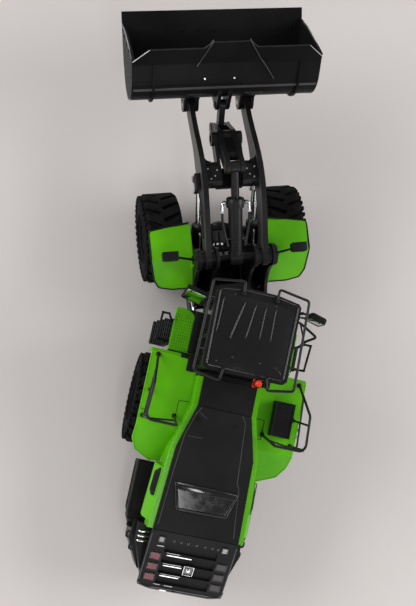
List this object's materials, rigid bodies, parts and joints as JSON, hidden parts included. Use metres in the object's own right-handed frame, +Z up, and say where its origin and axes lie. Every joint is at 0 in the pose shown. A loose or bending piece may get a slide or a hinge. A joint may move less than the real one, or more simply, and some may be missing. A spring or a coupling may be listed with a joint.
{
  "type": "toy wheel loader",
  "caption": "Articulated toy wheel loader with a working bucket linkage, lift and steering cylinders, four rolling wheels, a glazed cab and a tow pin hole at the rear.",
  "frame": {"origin": "centre of the part's box, on the ground under the tyres", "axes": "+Y forwards along the front frame towards the bucket, +Z up, +X to the right of the front frame; the rear frame stands 18 degrees off that line because the loader is steered"},
  "size_m": [0.1369, 0.3635, 0.1238],
  "materials": {
    "lime_paint": "satin",
    "lime_plastic": "satin",
    "black_paint": "satin",
    "black_plastic": "matt",
    "grey_plastic": "matt",
    "gloss_black": "gloss",
    "bright_rod": "polished",
    "pin_steel": "brushed",
    "edge_steel": "worn",
    "tyre": "matt",
    "cab_glass": "clear",
    "lamp_clear": "gloss",
    "lamp_red": "gloss",
    "beacon_orange": "gloss",
    "seat_cloth": "matt"
  },
  "bodies": {
    "rear_frame": {"rear_chassis": "black_paint", "driveline": "grey_plastic", "counterweight": "black_paint", "hood_shell": "lime_paint", "hood_top": "grey_plastic", "hood_window": "gloss_black", "rear_grille": "black_plastic", "rear_work_lamps": "lamp_clear", "tail_lamps": "lamp_red", "rear_fender_left": "lime_plastic", "rear_fender_right": "lime_plastic", "handrail_left": "black_plastic", "handrail_right": "black_plastic", "side_platforms": "lime_plastic", "access_ladders": "black_plastic", "fender_box": "black_plastic", "rear_side_boxes": "black_plastic", "cab_frame": "black_plastic", "cab_glass": "cab_glass", "cab_roof": "black_plastic", "roof_rails": "black_plastic", "beacon": "beacon_orange", "operator_seat": "seat_cloth", "steering_column": "grey_plastic", "mirror_left": "black_plastic", "mirror_right": "black_plastic"},
    "rear_axle": {"rear_axle": "black_paint"},
    "wheel_rear_left": {"tyre_rear_left": "tyre", "rim_rear_left": "black_plastic"},
    "wheel_rear_right": {"tyre_rear_right": "tyre", "rim_rear_right": "black_plastic"},
    "wheel_front_left": {"tyre_front_left": "tyre", "rim_front_left": "black_plastic"},
    "wheel_front_right": {"tyre_front_right": "tyre", "rim_front_right": "black_plastic"},
    "front_frame": {"front_chassis": "black_paint", "front_axle": "black_paint", "front_pins": "pin_steel", "front_fender_left": "lime_plastic", "front_fender_right": "lime_plastic", "work_lamp_left": "black_plastic", "work_lamp_right": "black_plastic"},
    "boom": {"boom_arm_left": "black_paint", "boom_arm_right": "black_paint", "boom_cross_tube": "black_paint", "boom_pins": "pin_steel", "arm_sensor": "grey_plastic"},
    "rocker": {"rocker": "black_paint"},
    "link": {"link": "black_paint"},
    "tilt_barrel": {"tilt_barrel": "black_paint"},
    "tilt_rod": {"tilt_rod": "bright_rod"},
    "bucket": {"bucket": "black_paint", "cutting_edge": "edge_steel"},
    "lift_barrels": {"lift_barrels": "black_paint"},
    "lift_rods": {"lift_rods": "bright_rod"},
    "steer_barrel_left": {"steer_barrel_left": "black_paint"},
    "steer_barrel_right": {"steer_barrel_right": "black_paint"},
    "steer_rod_left": {"steer_rod_left": "bright_rod"},
    "steer_rod_right": {"steer_rod_right": "bright_rod"}
  },
  "joints": [
    {"name": "articulation", "type": "hinge", "parent": "rear_frame", "child": "front_frame", "pos_m": [0.0109, -0.0119, 0], "axis": [0, 0, 1], "range_deg": [-53, 17]},
    {"name": "rear_axle_oscillation", "type": "hinge", "parent": "rear_frame", "child": "rear_axle", "pos_m": [-0.00733, -0.06801, 0.0293], "axis": [0.309, 0.9511, 0], "range_deg": [-5, 5]},
    {"name": "wheel_rear_left_turn", "type": "hinge", "parent": "rear_axle", "child": "wheel_rear_left", "pos_m": [-0.04537, -0.05565, 0.0293], "axis": [0.9511, -0.309, 0], "continuous": true},
    {"name": "wheel_rear_right_turn", "type": "hinge", "parent": "rear_axle", "child": "wheel_rear_right", "pos_m": [0.03071, -0.08037, 0.0293], "axis": [0.9511, -0.309, 0], "continuous": true},
    {"name": "wheel_front_left_turn", "type": "hinge", "parent": "front_frame", "child": "wheel_front_left", "pos_m": [-0.0291, 0.0496, 0.0293], "axis": [1, 0, 0], "continuous": true},
    {"name": "wheel_front_right_turn", "type": "hinge", "parent": "front_frame", "child": "wheel_front_right", "pos_m": [0.0509, 0.0496, 0.0293], "axis": [1, 0, 0], "continuous": true},
    {"name": "boom_lift", "type": "hinge", "parent": "front_frame", "child": "boom", "pos_m": [0.0109, 0.0268, 0.073], "axis": [1, 0, 0], "range_deg": [-34, 44]},
    {"name": "bucket_tilt", "type": "hinge", "parent": "boom", "child": "bucket", "pos_m": [0.0109, 0.12712, 0.06704], "axis": [1, 0, 0], "range_deg": [-45, 15]},
    {"name": "rocker_turn", "type": "hinge", "parent": "boom", "child": "rocker", "pos_m": [0.0109, 0.10014, 0.07996], "axis": [1, 0, 0], "range_deg": [-9.02, 27.02]},
    {"name": "link_turn", "type": "hinge", "parent": "rocker", "child": "link", "pos_m": [0.0109, 0.1111, 0.06629], "axis": [1, 0, 0], "range_deg": [-49.94, 16.66]},
    {"name": "tilt_barrel_turn", "type": "hinge", "parent": "boom", "child": "tilt_barrel", "pos_m": [0.0109, 0.0268, 0.073], "axis": [1, 0, 0], "range_deg": [-9.46, 3.17]},
    {"name": "tilt_rod_slide", "type": "slide", "parent": "tilt_barrel", "child": "tilt_rod", "axis": [0, 0.9094, 0.416], "range_m": [-0.00954, 0.00319]},
    {"name": "lift_barrel_turn", "type": "hinge", "parent": "front_frame", "child": "lift_barrels", "pos_m": [0.0109, 0.0147, 0.02448], "axis": [1, 0, 0], "range_deg": [-17.02, 22.02]},
    {"name": "lift_rod_turn", "type": "hinge", "parent": "boom", "child": "lift_rods", "pos_m": [0.0109, 0.07677, 0.07475], "axis": [1, 0, 0], "range_deg": [-22.02, 17.02]},
    {"name": "steer_barrel_left_turn", "type": "hinge", "parent": "rear_frame", "child": "steer_barrel_left", "pos_m": [-0.01031, -0.03311, 0.033], "axis": [0, 0, 1], "range_deg": [-26.52, 8.52]},
    {"name": "steer_barrel_right_turn", "type": "hinge", "parent": "rear_frame", "child": "steer_barrel_right", "pos_m": [0.01559, -0.04153, 0.033], "axis": [0, 0, 1], "range_deg": [-26.52, 8.52]},
    {"name": "steer_rod_left_turn", "type": "hinge", "parent": "front_frame", "child": "steer_rod_left", "pos_m": [-0.01208, 0.00738, 0.033], "axis": [0, 0, 1], "range_deg": [-8.52, 26.52]},
    {"name": "steer_rod_right_turn", "type": "hinge", "parent": "front_frame", "child": "steer_rod_right", "pos_m": [0.03388, 0.00738, 0.033], "axis": [0, 0, 1], "range_deg": [-8.52, 26.52]}
  ],
  "couplings": [
    {"joint": "rocker_turn", "follows": "bucket_tilt", "ratio": -0.6},
    {"joint": "link_turn", "follows": "bucket_tilt", "ratio": 1.1093},
    {"joint": "tilt_barrel_turn", "follows": "bucket_tilt", "ratio": 0.20977},
    {"joint": "tilt_rod_slide", "follows": "bucket_tilt", "m_per_rad": 0.012127},
    {"joint": "lift_barrel_turn", "follows": "boom_lift", "ratio": 0.5},
    {"joint": "lift_rod_turn", "follows": "boom_lift", "ratio": -0.5},
    {"joint": "steer_barrel_left_turn", "follows": "articulation", "ratio": 0.5},
    {"joint": "steer_barrel_right_turn", "follows": "articulation", "ratio": 0.5},
    {"joint": "steer_rod_left_turn", "follows": "articulation", "ratio": -0.5},
    {"joint": "steer_rod_right_turn", "follows": "articulation", "ratio": -0.5}
  ]
}
